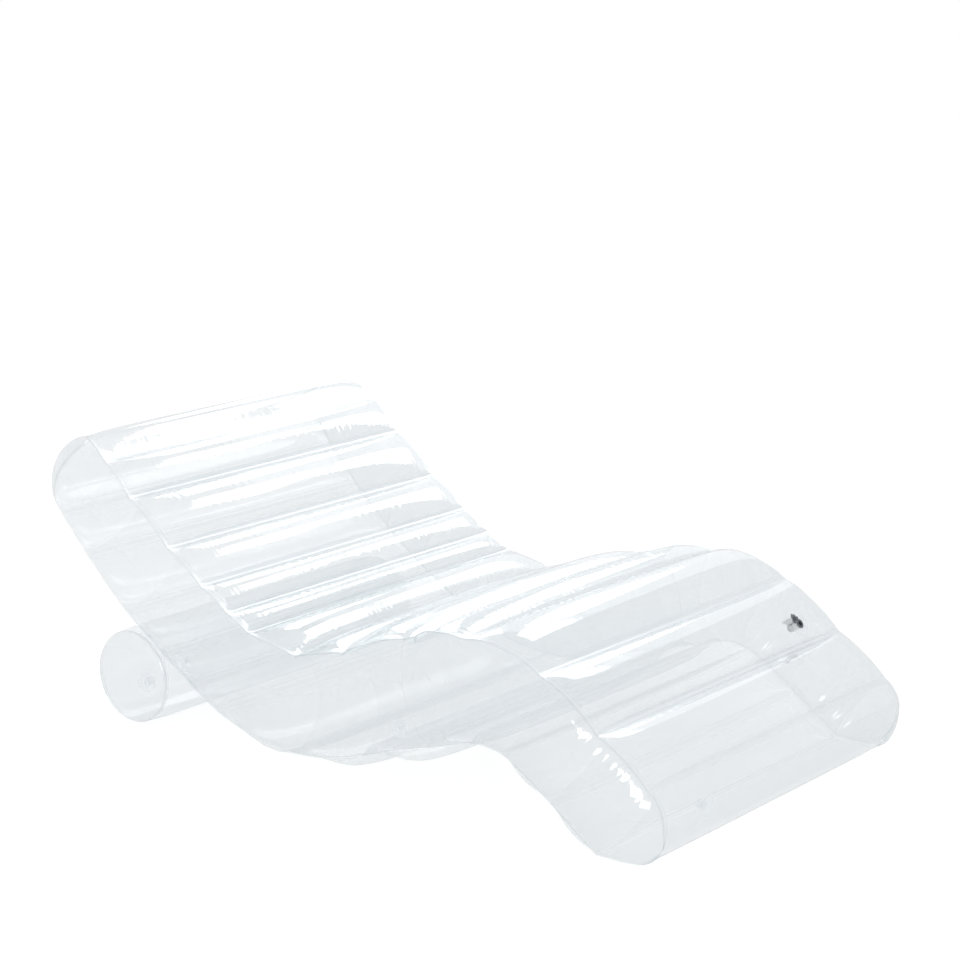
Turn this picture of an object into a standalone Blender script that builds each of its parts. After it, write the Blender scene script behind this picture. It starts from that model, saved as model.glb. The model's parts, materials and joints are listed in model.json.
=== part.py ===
"""Inflatable pool lounger: welded clear films with inner ribs, a bolster roll and air valves."""
import math

import bmesh
import bpy
import numpy as np
from mathutils import Matrix, Vector

# Films and welds
film = 0.0005
weld_gap = 0.0003
weld_land = 0.008
seam_lip = 0.002
merge_gap = 0.00005
crease_angle = math.radians(40.0)

# Mattress across its width and depth
seam_width = 0.87
chamber_depth = 0.187
wall_bulge = 0.041
head_corner = 0.085
foot_corner = 0.03
bottom_crown_share = 0.40
crown_power_share = 0.8
rest_flat = 0.0005

# The mattress's mid-line, as runs from the head to the foot with the slope at the end of each
head_nose = 0.10
foot_nose = 0.080
head_slope = math.radians(-47.0)
back_slope = math.radians(-32.0)
seat_slope = math.radians(17.5)
rise_slope = math.radians(16.3)
leg_slope = math.radians(-36.0)
back_bend = 0.42
back_straight = 0.07
seat_bend = 0.335
thigh_bend = 0.30
knee_bend = 0.21
leg_straight = 0.25
walk_step = 0.002

# Ribs and dividers, as shares of the run between the first and the last rib
rib_place_shares = (0.0, 0.066, 0.160, 0.236, 0.340, 0.452, 0.549, 0.670, 0.736, 0.818, 0.910, 1.0)
divider_place_shares = (0.291, 0.655)
rib_end_margin = 0.017
rib_end_bow = 0.05
divider_margin = 0.0016

# Where the films' rows of points lie
width_shares = (-1.0, -0.96, -0.88, -0.70, -0.35, 0.35, 0.70, 0.88, 0.96, 1.0)
top_across_shares = (1.0, 1.0, 0.93, 0.76, 0.52, 0.20)
bottom_across_shares = (1.0, 1.0, 0.93, 0.75, 0.44, 0.0)
across_at_shares = (0.0, 0.35, 0.70, 0.88, 0.96, 1.0)
wall_height_shares = (1.0, 0.55, 0.0, -0.55, -1.0)
rib_width_shares = (-1.0, -0.6, 0.0, 0.6, 1.0)
channel_shares = (0.25, 0.5, 0.75)
nose_angles = tuple(math.radians(a) for a in (90, 84, 70, 54, 36, 18))

# How far the top film's channels swell, and how far the films stand off at the side seams, past the ribs
top_crown_shares = (0.23, 0.23, 0.27, 0.34, 0.25, 0.21)
top_crown_at_shares = (0.0, 0.50, 0.60, 0.695, 0.777, 0.90)
side_swell_start_share = 0.96
side_swell_at_shares = (0.0, 0.15, 0.35, 0.55, 0.62, 0.69, 0.74, 0.79, 0.88)
top_side_swells = (0.002, 0.003, 0.004, 0.006, 0.010, 0.018, 0.003, 0.0, 0.0)
bottom_side_swells = (0.002, 0.014, 0.014, 0.016, 0.016, 0.016, 0.015, 0.011, 0.0)
lean_clearance_share = 1.3

# Bolster roll under the backrest
roll_radius = 0.103
roll_half_length = 0.40
roll_cap_crown = 0.024
roll_neck = 0.003
roll_neck_run = 0.05
cap_ring_shares = ((0.0, 1.0), (0.55, 0.74), (0.86, 0.32))
roll_sides = 28
strip_width = 0.02
strip_length = 0.28

# Air valves
flange_radius = 0.0215
flange_thickness = 0.0008
sleeve_wall = 0.0012
sleeve_land = 0.006
slide_clearance = 0.0004
stem_radius = 0.0065
stem_bore = 0.0045
stem_foot = 0.004
stem_stroke = 0.012
collar_radius = 0.0082
collar_thickness = 0.0008
cap_radius = 0.0080
cap_thickness = 0.0015
plug_length = 0.005
plug_taper = 0.0012
plug_clearance = 0.0003
hinge_reach = 0.0098
hinge_gap = 0.0004
strap_width = 0.005
tab_reach = 0.0045
tab_width = 0.007
cutter_overrun = 0.01
valve_sides = 20
open_angle = math.radians(165.0)

# Where the valves sit on the walls and films, and how much larger the dark one is
wall_valve_share = -0.55
wall_valve_channel_share = 0.75
leg_valve_share = 0.70
leg_valve_channel_share = 0.75
leg_strap_turn = math.radians(218.0)
foot_valve_share = -0.70
foot_valve_turn = math.radians(54.0)
large_valve_share = 1.2

depth_half = chamber_depth / 2
width_half = seam_width / 2
skin = film + weld_gap
sleeve_depth = stem_stroke + sleeve_land

for old in list(bpy.data.objects):
    bpy.data.objects.remove(old, do_unlink=True)

parts = bpy.data.collections.new("pool_lounger")
cutters = bpy.data.collections.new("cutters")
for group in (parts, cutters):
    bpy.context.scene.collection.children.link(group)


def make_material(name, colour, roughness, alpha=1.0):
    """Makes a plain plastic material."""
    material = bpy.data.materials.new(name)
    material.use_nodes = True
    shader = material.node_tree.nodes["Principled BSDF"]
    shader.inputs["Base Color"].default_value = (*colour, 1.0)
    shader.inputs["Roughness"].default_value = roughness
    shader.inputs["Metallic"].default_value = 0.0
    shader.inputs["Alpha"].default_value = alpha
    return material


clear_film = make_material("clear_film", (0.80, 0.85, 0.88), 0.08, 0.35)
clear_fitting = make_material("clear_fitting", (0.78, 0.82, 0.85), 0.2, 0.7)
dark_fitting = make_material("dark_fitting", (0.09, 0.10, 0.12), 0.35)


# The mid-line
def walk_midline():
    """Returns the arc length, position and slope along the mid-line, past both ends."""
    runs = (head_nose, back_bend, back_straight, seat_bend, thigh_bend, knee_bend, leg_straight, foot_nose)
    slopes = (head_slope, head_slope, back_slope, back_slope, seat_slope, rise_slope,
              leg_slope, leg_slope, leg_slope)
    marks = np.cumsum((-head_nose,) + runs)
    along = np.arange(marks[0], marks[-1] + walk_step, walk_step)
    slope = np.interp(along, marks, slopes)
    step = np.gradient(along)
    x = np.cumsum(np.cos(slope) * step)
    z = np.cumsum(np.sin(slope) * step)
    return along, x, z, slope


walked, walked_x, walked_z, walked_slope = walk_midline()
rib_run = back_bend + back_straight + seat_bend + thigh_bend + knee_bend + leg_straight


def section_point(along, depth):
    """Returns x and z of a point at an arc length and a height off the mid-line."""
    slope = np.interp(along, walked, walked_slope)
    x = np.interp(along, walked, walked_x) - depth * np.sin(slope)
    z = np.interp(along, walked, walked_z) + depth * np.cos(slope)
    return np.array([x, z])


# Rows of points along the films
def film_rows():
    """Returns each row's arc length, half depth, crown height over its pitch share and channel pitch."""
    welds = sorted([share * rib_run for share in rib_place_shares + divider_place_shares])
    table = []
    for angle in nose_angles:
        table.append((-weld_land / 2 - (head_nose - weld_land / 2) * math.sin(angle),
                      depth_half * math.cos(angle), math.sin(2 * angle) ** 2, head_nose))
    for weld, following in zip(welds, welds[1:] + [None]):
        table.append((weld - weld_land / 2, depth_half, 0.0, 0.0))
        table.append((weld + weld_land / 2, depth_half, 0.0, 0.0))
        if following is None:
            break
        start = weld + weld_land / 2
        run = following - weld_land / 2 - start
        if run < 2 * weld_land:
            continue
        for share in channel_shares:
            swell = (4 * share * (1 - share)) ** crown_power_share
            table.append((start + share * run, depth_half, swell, run))
    for angle in reversed(nose_angles):
        table.append((rib_run + weld_land / 2 + (foot_nose - weld_land / 2) * math.sin(angle),
                      depth_half * math.cos(angle), math.sin(2 * angle) ** 2, foot_nose))
    return table


rows = film_rows()
row_along = np.array([row[0] for row in rows])


def plan_at(along):
    """Returns the seam's half width and outward direction (along, across) at an arc length."""
    at_head = along < rib_run / 2
    corner = head_corner if at_head else foot_corner
    past = -along - head_nose if at_head else along - rib_run - foot_nose
    turn = min(max(1.0 + past / corner, 0.0), 1.0)
    inset = math.sqrt(1 - turn * turn)
    return width_half - corner * (1 - inset), (-turn if at_head else turn, inset)


def crown(side, share_of_width, row):
    """Returns how far a film swells past its weld lines at one place."""
    top_share = np.interp(row[0] / rib_run, top_crown_at_shares, top_crown_shares)
    pitch_share = top_share if side > 0 else bottom_crown_share
    across_shares = top_across_shares if side > 0 else bottom_across_shares
    return np.interp(abs(share_of_width), across_at_shares, across_shares) * pitch_share * row[2] * row[3]


def side_swell(side, along):
    """Returns how far a film stands off past its weld depth at a side seam."""
    swells = top_side_swells if side > 0 else bottom_side_swells
    return np.interp(along / rib_run, side_swell_at_shares, swells)


def film_section(row, side, share_of_width):
    """Returns x and z on a film's outer face: side is 1 for the top film and -1 for the bottom one."""
    past_ribs = max(abs(share_of_width) - side_swell_start_share, 0.0) / (1.0 - side_swell_start_share)
    swell = side_swell(side, row[0]) * past_ribs * row[1] / depth_half
    depth = max(row[1], weld_gap) + crown(side, share_of_width, row) + swell
    return section_point(row[0], side * depth)


seat_rows = [row for row in rows if back_bend < row[0] < rib_run - knee_bend - leg_straight]
floor = min(film_section(row, -1, 0.0)[1] for row in seat_rows) + rest_flat
nose_tip = min(film_section(row, side, 0.0)[0] for row in rows for side in (1, -1))
foot_tip = max(film_section(row, side, 0.0)[0] for row in rows for side in (1, -1))
middle = (nose_tip + foot_tip) / 2


def place(section, across, lift=0.0):
    """Returns the world point of a section point, kept above the floor that the lounger lies on."""
    return Vector((section[0] - middle, across, max(section[1] - floor, lift)))


# Objects
def add_object(name, mesh, material, collection=parts):
    """Adds a named object with a material to a collection."""
    obj = bpy.data.objects.new(name, mesh)
    collection.objects.link(obj)
    if collection is cutters:
        obj.hide_render = True
        obj.display_type = "WIRE"
    else:
        mesh.materials.append(material)
        mesh.shade_smooth()
        mesh.set_sharp_from_angle(angle=crease_angle)
    return obj


def grid_mesh(name, points):
    """Bends a flat grid so that its corners lie on a table of points, row by row."""
    count_rows, count_columns = len(points), len(points[0])
    bm = bmesh.new()
    bmesh.ops.create_grid(bm, x_segments=count_columns - 1, y_segments=count_rows - 1, size=0.5)
    for vert in bm.verts:
        column = round((vert.co.x + 0.5) * (count_columns - 1))
        row = round((vert.co.y + 0.5) * (count_rows - 1))
        vert.co = points[row][column]
    mesh = bpy.data.meshes.new(name)
    bm.to_mesh(mesh)
    bm.free()
    return mesh


def thicken(obj, thickness, offset):
    """Gives an open surface its film thickness."""
    shell = obj.modifiers.new("film", "SOLIDIFY")
    shell.thickness = thickness
    shell.offset = offset
    shell.use_even_offset = False
    return obj


def facing_out(points, outward):
    """Turns a table of points over where its faces would look away from the outward direction."""
    middle_row, middle_column = len(points) // 2, len(points[0]) // 2
    corner = points[middle_row][middle_column]
    along = points[middle_row + 1][middle_column] - corner
    across = points[middle_row][middle_column - 1] - corner
    if along.cross(across).dot(outward) < 0:
        return [list(reversed(row)) for row in points]
    return points


# Top and bottom films, with a welded lip past each side seam
sheet_shares = (width_shares[0], *width_shares, width_shares[-1])
sheet_lips = (seam_lip,) + (0.0,) * len(width_shares) + (seam_lip,)


def sheet_points(side):
    """Returns the outer face of the top or bottom film as rows of points."""
    table = []
    for row in rows:
        half, outward = plan_at(row[0])
        line = []
        for share, lip in zip(sheet_shares, sheet_lips):
            lip_row = (row[0] + lip * outward[0], *row[1:])
            line.append(place(film_section(lip_row, side, share), share * (half + lip * outward[1])))
        table.append(line)
    return table


def seam_point(index, side):
    """Returns the section point just inside a film at its side seam, where a wall starts."""
    here = film_section(rows[index], side, 1.0)
    before = film_section(rows[max(index - 1, 0)], side, 1.0)
    after = film_section(rows[min(index + 1, len(rows) - 1)], side, 1.0)
    for point in (here, before, after):
        point[1] = max(point[1], floor)
    way = (after - before) / np.linalg.norm(after - before)
    inward = np.array([way[1], -way[0]]) * side
    lean = side_swell(side, rows[index][0]) / (width_half * (1.0 - side_swell_start_share))
    return here + inward * (skin + film * lean_clearance_share * lean)


top_points = sheet_points(1)
bottom_points = sheet_points(-1)
up, down = Vector((0, 0, 1)), Vector((0, 0, -1))
top_mesh = grid_mesh("top_sheet", facing_out(top_points, up))
bottom_mesh = grid_mesh("bottom_sheet", facing_out(bottom_points, down))
top_sheet = thicken(add_object("top_sheet", top_mesh, clear_film), film, -1)
bottom_sheet = thicken(add_object("bottom_sheet", bottom_mesh, clear_film), film, -1)


# Side walls
seams = [(seam_point(i, 1), seam_point(i, -1)) for i in range(len(rows))]
seam_top_x = np.array([pair[0][0] for pair in seams])
seam_top_z = np.array([pair[0][1] for pair in seams])
seam_low_x = np.array([pair[1][0] for pair in seams])
seam_low_z = np.array([pair[1][1] for pair in seams])


def wall_line(along, hand):
    """Returns one upright line of points on a side wall's outer face."""
    top = np.array([np.interp(along, row_along, seam_top_x), np.interp(along, row_along, seam_top_z)])
    low = np.array([np.interp(along, row_along, seam_low_x), np.interp(along, row_along, seam_low_z)])
    half, outward = plan_at(along)
    slope = np.interp(along, walked, walked_slope)
    swell = wall_bulge * min(1.0, np.linalg.norm(top - low) / (chamber_depth - 2 * skin))
    line = []
    for share in wall_height_shares:
        reach = swell * (1 - share * share) ** crown_power_share
        section = low + (top - low) * (1 + share) / 2
        section = section + reach * outward[0] * np.array([math.cos(slope), math.sin(slope)])
        line.append(place(section, hand * (half + reach * outward[1]), skin))
    return line


divider_places = [share * rib_run for share in divider_place_shares]
wall_ends = [row_along[1]] + divider_places + [row_along[-2]]
wall_tables = {}
for hand, hand_name in ((-1, "left"), (1, "right")):
    for zone, zone_name in enumerate(("back", "seat", "leg")):
        start = wall_ends[zone] + (weld_gap / 2 if zone > 0 else 0.0)
        stop = wall_ends[zone + 1] - (weld_gap / 2 if zone < 2 else 0.0)
        stations = [start] + [a for a in row_along if start + weld_gap < a < stop - weld_gap] + [stop]
        table = [wall_line(a, hand) for a in stations]
        node = f"{hand_name}_wall_{zone_name}"
        wall_tables[node] = (table, stations)
        wall_mesh = grid_mesh(node, facing_out(table, Vector((0, hand, 0))))
        thicken(add_object(node, wall_mesh, clear_film), film, -1)


# Ribs and dividers
def web_table(along, half_at, shares, end_swell):
    """Returns a flat film across the mattress whose half width depends on the height share."""
    columns = []
    for share in shares:
        at_end = end_swell if abs(share) == 1.0 else 0.0
        top = section_point(along, depth_half - skin + at_end * side_swell(1, along))
        low = section_point(along, skin - depth_half - at_end * side_swell(-1, along))
        sections = [low + (top - low) * (1 + height) / 2 for height in wall_height_shares]
        columns.append([place(section, share * half_at(height), skin)
                        for section, height in zip(sections, wall_height_shares)])
    return [list(line) for line in zip(*columns)]


def rib_half(height):
    """Returns a rib's half width, drawn in between its two weld lines."""
    return width_half - rib_end_margin - rib_end_bow * (1 - height * height)


def divider_half(height):
    """Returns a divider's half width, out to the swollen walls."""
    return width_half - divider_margin + wall_bulge * (1 - height * height) ** crown_power_share


rib_places = [share * rib_run for share in rib_place_shares]
divider_end_share = 1.0 - divider_margin / (width_half * (1.0 - side_swell_start_share))
turn_share = side_swell_start_share * width_half / divider_half(1.0)
divider_width_shares = (-1.0, -turn_share, 0.0, turn_share, 1.0)
for number, along in enumerate(rib_places, 1):
    node = f"rib_{number:02d}"
    web = web_table(along, rib_half, rib_width_shares, 0.0)
    thicken(add_object(node, grid_mesh(node, web), clear_film), film, 0)
for node, along in zip(("seat_divider", "knee_divider"), divider_places):
    web = web_table(along, divider_half, divider_width_shares, divider_end_share)
    thicken(add_object(node, grid_mesh(node, web), clear_film), film, 0)


# Bolster roll
bottom_line = np.array([film_section(row, -1, 0.0) - np.array([middle, floor]) for row in rows])
bottom_line[:, 1] = np.maximum(bottom_line[:, 1], 0.0)


def nearest_on_bottom(point):
    """Returns the distance from a point to the bottom film's middle section, and the nearest place on it."""
    best = (math.inf, None)
    for a, b in zip(bottom_line, bottom_line[1:]):
        share = np.clip(np.dot(point - a, b - a) / np.dot(b - a, b - a), 0.0, 1.0)
        spot = a + (b - a) * share
        best = min(best, (float(np.linalg.norm(point - spot)), tuple(spot)))
    return best


def roll_centre():
    """Slides the roll along the floor from the head until it is a weld strip away from the bottom film."""
    wanted = roll_radius + film + 2 * weld_gap
    far = bottom_line[:, 0].min() - roll_radius
    back_line = bottom_line[: len(rows) // 2][::-1]
    near = np.interp(roll_radius, back_line[:, 1], back_line[:, 0])
    for _ in range(40):
        trial = (far + near) / 2
        if nearest_on_bottom(np.array([trial, roll_radius]))[0] > wanted:
            far = trial
        else:
            near = trial
    return np.array([far, roll_radius])


roll = roll_centre()
touch = np.array(nearest_on_bottom(roll)[1])
press = (touch - roll) / np.linalg.norm(touch - roll)


def turned(name, profile, material, sides, matrix, shell=0.0, collection=parts):
    """Turns a profile of (radius, height) points about Z and places the result."""
    mesh = bpy.data.meshes.new(name)
    bm = bmesh.new()
    verts = [bm.verts.new((radius, 0.0, height)) for radius, height in profile]
    for a, b in zip(verts, verts[1:] + ([] if shell or profile[0][0] == 0.0 else verts[:1])):
        bm.edges.new((a, b))
    bm.to_mesh(mesh)
    bm.free()
    obj = add_object(name, mesh, material, collection)
    obj.matrix_world = matrix
    spin = obj.modifiers.new("turn", "SCREW")
    spin.steps = sides
    spin.render_steps = sides
    spin.use_merge_vertices = True
    spin.merge_threshold = merge_gap
    spin.use_smooth_shade = True
    if shell:
        thicken(obj, shell, -1)
    return obj


roll_place = Matrix.Translation((roll[0], 0.0, roll[1]))
left_turn = Matrix.Rotation(math.radians(90), 4, "X")
right_turn = Matrix.Rotation(math.radians(-90), 4, "X")
neck_radius = roll_radius - roll_neck
tube_half = roll_half_length - weld_gap
tube_profile = [(neck_radius, tube_half), (roll_radius, tube_half - roll_neck_run),
                (roll_radius, roll_neck_run - tube_half), (neck_radius, -tube_half)]
turned("roll_tube", tube_profile, clear_film, roll_sides, roll_place @ left_turn, film)
cap_profile = [(neck_radius * out, roll_half_length + roll_cap_crown * high)
               for out, high in cap_ring_shares]
cap_profile.append((neck_radius, roll_half_length + skin))
roll_left_cap = turned("roll_left_cap", cap_profile, clear_film, roll_sides, roll_place @ left_turn, film)
turned("roll_right_cap", cap_profile, clear_film, roll_sides, roll_place @ right_turn, film)


def box(name, size, matrix, material, collection=parts):
    """Adds a box of a given size at a matrix."""
    mesh = bpy.data.meshes.new(name)
    bm = bmesh.new()
    bmesh.ops.create_cube(bm, size=1.0, matrix=Matrix.Diagonal((*size, 1.0)))
    bm.to_mesh(mesh)
    bm.free()
    obj = add_object(name, mesh, material, collection)
    obj.matrix_world = matrix
    return obj


strip_middle = touch - press * (weld_gap + film / 2)
strip_turn = Matrix.Rotation(math.atan2(press[0], press[1]), 4, "Y")
box("roll_weld_strip", (strip_width, strip_length, film),
    Matrix.Translation((strip_middle[0], 0.0, strip_middle[1])) @ strip_turn, clear_film)


# Air valves
def valve_frame(spot, normal, strap_way):
    """Returns a frame on a film with Z along its normal and X towards the cap's strap."""
    z = normal.normalized()
    x = (strap_way - z * strap_way.dot(z)).normalized()
    frame = Matrix((x, z.cross(x), z)).transposed().to_4x4()
    frame.translation = spot
    return frame


def join(obj, other):
    """Joins a helper body to an object."""
    union = obj.modifiers.new("join", "BOOLEAN")
    union.operation = "UNION"
    union.solver = "EXACT"
    union.object = other


def pierce(obj, frame):
    """Cuts a valve's hole through a film."""
    reach = stem_radius + slide_clearance + sleeve_wall + weld_gap
    name = f"{obj.name}_hole"
    mesh = bpy.data.meshes.new(name)
    bm = bmesh.new()
    bmesh.ops.create_cone(bm, cap_ends=True, segments=valve_sides, radius1=reach, radius2=reach,
                          depth=2 * cutter_overrun)
    bm.to_mesh(mesh)
    bm.free()
    cutter = add_object(name, mesh, None, cutters)
    cutter.matrix_world = frame
    cut = obj.modifiers.new("hole", "BOOLEAN")
    cut.operation = "DIFFERENCE"
    cut.solver = "EXACT"
    cut.object = cutter


def add_valve(name, holder, spot, normal, strap_way, material, size_share=1.0, cap_turn=0.0):
    """Adds one valve: a flange with its sleeve, a stem that slides in it and a cap on a hinged strap."""
    frame = valve_frame(spot, normal, strap_way) @ Matrix.Scale(size_share, 4)
    pierce(holder, frame)
    sleeve_bore = stem_radius + slide_clearance
    sleeve_radius = sleeve_bore + sleeve_wall
    flange_top = weld_gap + flange_thickness
    flange = [(sleeve_bore, flange_top), (flange_radius, flange_top), (flange_radius, weld_gap),
              (sleeve_radius, weld_gap), (sleeve_radius, -sleeve_depth), (sleeve_bore, -sleeve_depth)]
    turned(f"{name}_flange", flange, clear_fitting, valve_sides, frame)

    collar_low = flange_top + weld_gap
    collar_top = collar_low + collar_thickness
    stem_low = -sleeve_depth - stem_foot
    stem = [(stem_bore, collar_top), (collar_radius, collar_top), (collar_radius, collar_low),
            (stem_radius, collar_low), (stem_radius, stem_low), (stem_bore, stem_low)]
    body = turned(f"{name}_stem", stem, material, valve_sides, frame)
    cap_low = collar_top + weld_gap
    cap_top = cap_low + cap_thickness
    lug_reach = hinge_reach + strap_width / 2 - hinge_gap / 2
    lug_root = collar_radius - collar_thickness
    lug_middle = Matrix.Translation(((lug_reach + lug_root) / 2, 0.0, (collar_low + collar_top) / 2))
    lug_size = (lug_reach - lug_root, strap_width, collar_thickness)
    join(body, box(f"{name}_lug", lug_size, frame @ lug_middle, None, cutters))

    hinge_height = (cap_low + cap_top) / 2
    hinge_at = Matrix.Translation((hinge_reach, 0.0, hinge_height))
    hinge = bpy.data.objects.new(f"{name}_hinge", None)
    parts.objects.link(hinge)
    hinge.matrix_world = frame @ hinge_at
    cap_frame = frame @ hinge_at @ Matrix.Rotation(cap_turn, 4, "Y") @ hinge_at.inverted()
    plug_radius = stem_bore - plug_clearance
    plug_low = cap_low - plug_length
    cap = [(0.0, cap_top), (cap_radius, cap_top), (cap_radius, cap_low), (plug_radius, cap_low),
           (plug_radius - plug_taper, plug_low), (0.0, plug_low)]
    lid = turned(f"{name}_cap", cap, material, valve_sides, cap_frame)
    strap_run = hinge_reach - hinge_gap / 2 - cap_radius + cap_thickness
    strap_middle = Matrix.Translation((hinge_reach - hinge_gap / 2 - strap_run / 2, 0.0, hinge_height))
    strap_size = (strap_run, strap_width, cap_thickness)
    join(lid, box(f"{name}_strap", strap_size, cap_frame @ strap_middle, None, cutters))
    tab_run = tab_reach + cap_thickness
    tab_middle = Matrix.Translation((cap_thickness - cap_radius - tab_run / 2, 0.0, hinge_height))
    join(lid, box(f"{name}_tab", (tab_run, tab_width, cap_thickness), cap_frame @ tab_middle, None, cutters))


def table_normal(table, i, j, outward):
    """Returns the normal at a grid point, turned to the outward side."""
    along = table[i + 1][j] - table[i - 1][j]
    across = table[i][j + 1] - table[i][j - 1]
    normal = along.cross(across).normalized()
    return normal if normal.dot(outward) > 0 else -normal


def nearest(values, wanted):
    """Returns the index of the value that is nearest to the wanted one."""
    return int(np.argmin(np.abs(np.array(values) - wanted)))


def wall_valve(name, wall, channel_start, channel_end):
    """Adds a clear valve low on a side wall, towards the foot end of one channel."""
    table, stations = wall_tables[wall]
    row = nearest(stations, channel_start + wall_valve_channel_share * (channel_end - channel_start))
    column = nearest(wall_height_shares, wall_valve_share)
    normal = table_normal(table, row, column, Vector((0, -1, 0)))
    add_valve(name, bpy.data.objects[wall], table[row][column], normal, up, clear_fitting)


wall_valve("back_valve", "left_wall_back", rib_places[3], divider_places[0])
wall_valve("seat_valve", "left_wall_seat", rib_places[6], divider_places[1])

channel = rib_places[10] - rib_places[9]
row_at = nearest(row_along, rib_places[9] + leg_valve_channel_share * channel)
column_at = nearest(sheet_shares, leg_valve_share)
leg_strap_way = Vector((math.cos(leg_strap_turn), math.sin(leg_strap_turn), 0))
add_valve("leg_valve", top_sheet, top_points[row_at][column_at],
          table_normal(top_points, row_at, column_at, up), leg_strap_way, dark_fitting,
          large_valve_share, open_angle)

row_at = nearest(row_along, rib_run + foot_nose * math.sin(foot_valve_turn))
column_at = nearest(sheet_shares, foot_valve_share)
add_valve("foot_valve", top_sheet, top_points[row_at][column_at],
          table_normal(top_points, row_at, column_at, Vector((1, 0, 0))), Vector((0, 1, 0)), clear_fitting)

inner_ring, valve_ring, outer_ring = cap_profile[:3]
roll_spot = roll_place @ left_turn @ Vector((valve_ring[0], 0.0, valve_ring[1]))
roll_out = left_turn @ Vector((inner_ring[1] - outer_ring[1], 0.0, outer_ring[0] - inner_ring[0]))
add_valve("roll_valve", roll_left_cap, roll_spot, roll_out, up, clear_fitting)
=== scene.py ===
# Clear inflatable pool lounger: quilted films on I-beam ribs, side walls, bolster roll, air valves
import json
import math

import bmesh
import bpy
import numpy as np
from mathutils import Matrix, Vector


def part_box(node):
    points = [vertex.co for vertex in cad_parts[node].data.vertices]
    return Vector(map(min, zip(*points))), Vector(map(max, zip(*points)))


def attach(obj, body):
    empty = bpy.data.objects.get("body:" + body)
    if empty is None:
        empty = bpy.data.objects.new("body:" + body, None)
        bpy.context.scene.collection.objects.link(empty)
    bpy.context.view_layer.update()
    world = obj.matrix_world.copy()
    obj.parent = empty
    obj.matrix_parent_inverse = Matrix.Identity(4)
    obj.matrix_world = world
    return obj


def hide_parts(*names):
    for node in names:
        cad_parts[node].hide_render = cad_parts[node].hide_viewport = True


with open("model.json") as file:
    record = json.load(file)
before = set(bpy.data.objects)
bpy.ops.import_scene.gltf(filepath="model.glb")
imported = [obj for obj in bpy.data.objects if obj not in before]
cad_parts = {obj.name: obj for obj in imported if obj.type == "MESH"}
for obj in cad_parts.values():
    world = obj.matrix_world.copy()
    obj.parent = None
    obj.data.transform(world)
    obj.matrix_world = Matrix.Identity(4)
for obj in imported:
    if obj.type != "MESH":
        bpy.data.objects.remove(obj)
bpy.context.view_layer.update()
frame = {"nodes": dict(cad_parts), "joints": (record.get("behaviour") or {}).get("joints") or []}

scene = bpy.context.scene

# Eye-level camera; its focal length is in pixels of a picture that is imageWidth wide
view = dict(location=(3.2398, -4.1089, 1.7222), pitch=12.7209, turn=37.898, focalPixels=2579.06,
            imageWidth=960, sensor=36.0)


def setCamera():
    data = bpy.data.cameras.new("camera")
    data.sensor_width = view["sensor"]
    data.lens = view["focalPixels"] * view["sensor"] / view["imageWidth"]
    camera = bpy.data.objects.new("camera", data)
    scene.collection.objects.link(camera)
    camera.location = view["location"]
    camera.rotation_euler = (math.radians(90 - view["pitch"]), 0, math.radians(view["turn"]))
    scene.camera = camera


setCamera()


# Node building: a Wire is an output socket that sums and products can be written with
class Wire:
    def __init__(self, graph, socket):
        self.graph = graph
        self.socket = socket

    def maths(self, operation, *values):
        return self.graph.add("ShaderNodeMath", {"operation": operation}, dict(enumerate(values)))

    def __add__(self, other):
        return self.maths("ADD", self, other)

    def __radd__(self, other):
        return self.maths("ADD", other, self)

    def __sub__(self, other):
        return self.maths("SUBTRACT", self, other)

    def __rsub__(self, other):
        return self.maths("SUBTRACT", other, self)

    def __mul__(self, other):
        return self.maths("MULTIPLY", self, other)

    def __rmul__(self, other):
        return self.maths("MULTIPLY", other, self)

    def __pow__(self, other):
        return self.maths("POWER", self, other)


class Graph:
    def __init__(self, tree):
        self.tree = tree
        tree.nodes.clear()

    def add(self, kind, settings=None, sockets=None, output=0):
        node = self.tree.nodes.new(kind)
        for name, value in (settings or {}).items():
            setattr(node, name, value)
        for name, value in (sockets or {}).items():
            if isinstance(value, Wire):
                self.tree.links.new(value.socket, node.inputs[name])
            else:
                node.inputs[name].default_value = value
        return Wire(self, node.outputs[output]) if len(node.outputs) else node

    def also(self, wire, output):
        return Wire(self, wire.socket.node.outputs[output])


def newMaterial(name):
    material = bpy.data.materials.new(name)
    material.use_nodes = True
    return material, Graph(material.node_tree)


# Clear film: mostly see-through, glossier where it turns away, firmer and hazier at its welds
filmLook = dict(tint=(0.996, 0.998, 1.0, 1), colour=(0.775, 0.815, 0.84, 1), gloss=0.46,
                turned=0.25, turnPower=5.0, weldShare=0.08, weldLine=0.16, mostCover=0.95,
                clearToLight=0.65, roughness=0.08, weldRoughness=0.30, metal=0.80, ior=1.5,
                fineScale=120.0, fineDepth=0.0003, fineTaut=0.10,
                creaseScale=38.0, creaseDepth=0.0008, creaseTaut=0.15, bump=0.6)
layerNames = ("weld", "edge", "slack")  # what a film's mesh tells its material, each 0 to 1


# Clear vinyl throws a far lighter shadow than its glossy look covers
def lighterShadow(graph):
    path = graph.add("ShaderNodeLightPath")
    light = path.maths("MAXIMUM", graph.also(path, "Is Shadow Ray"),
                       graph.also(path, "Is Diffuse Ray"))
    return 1 - filmLook["clearToLight"] * light


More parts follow.
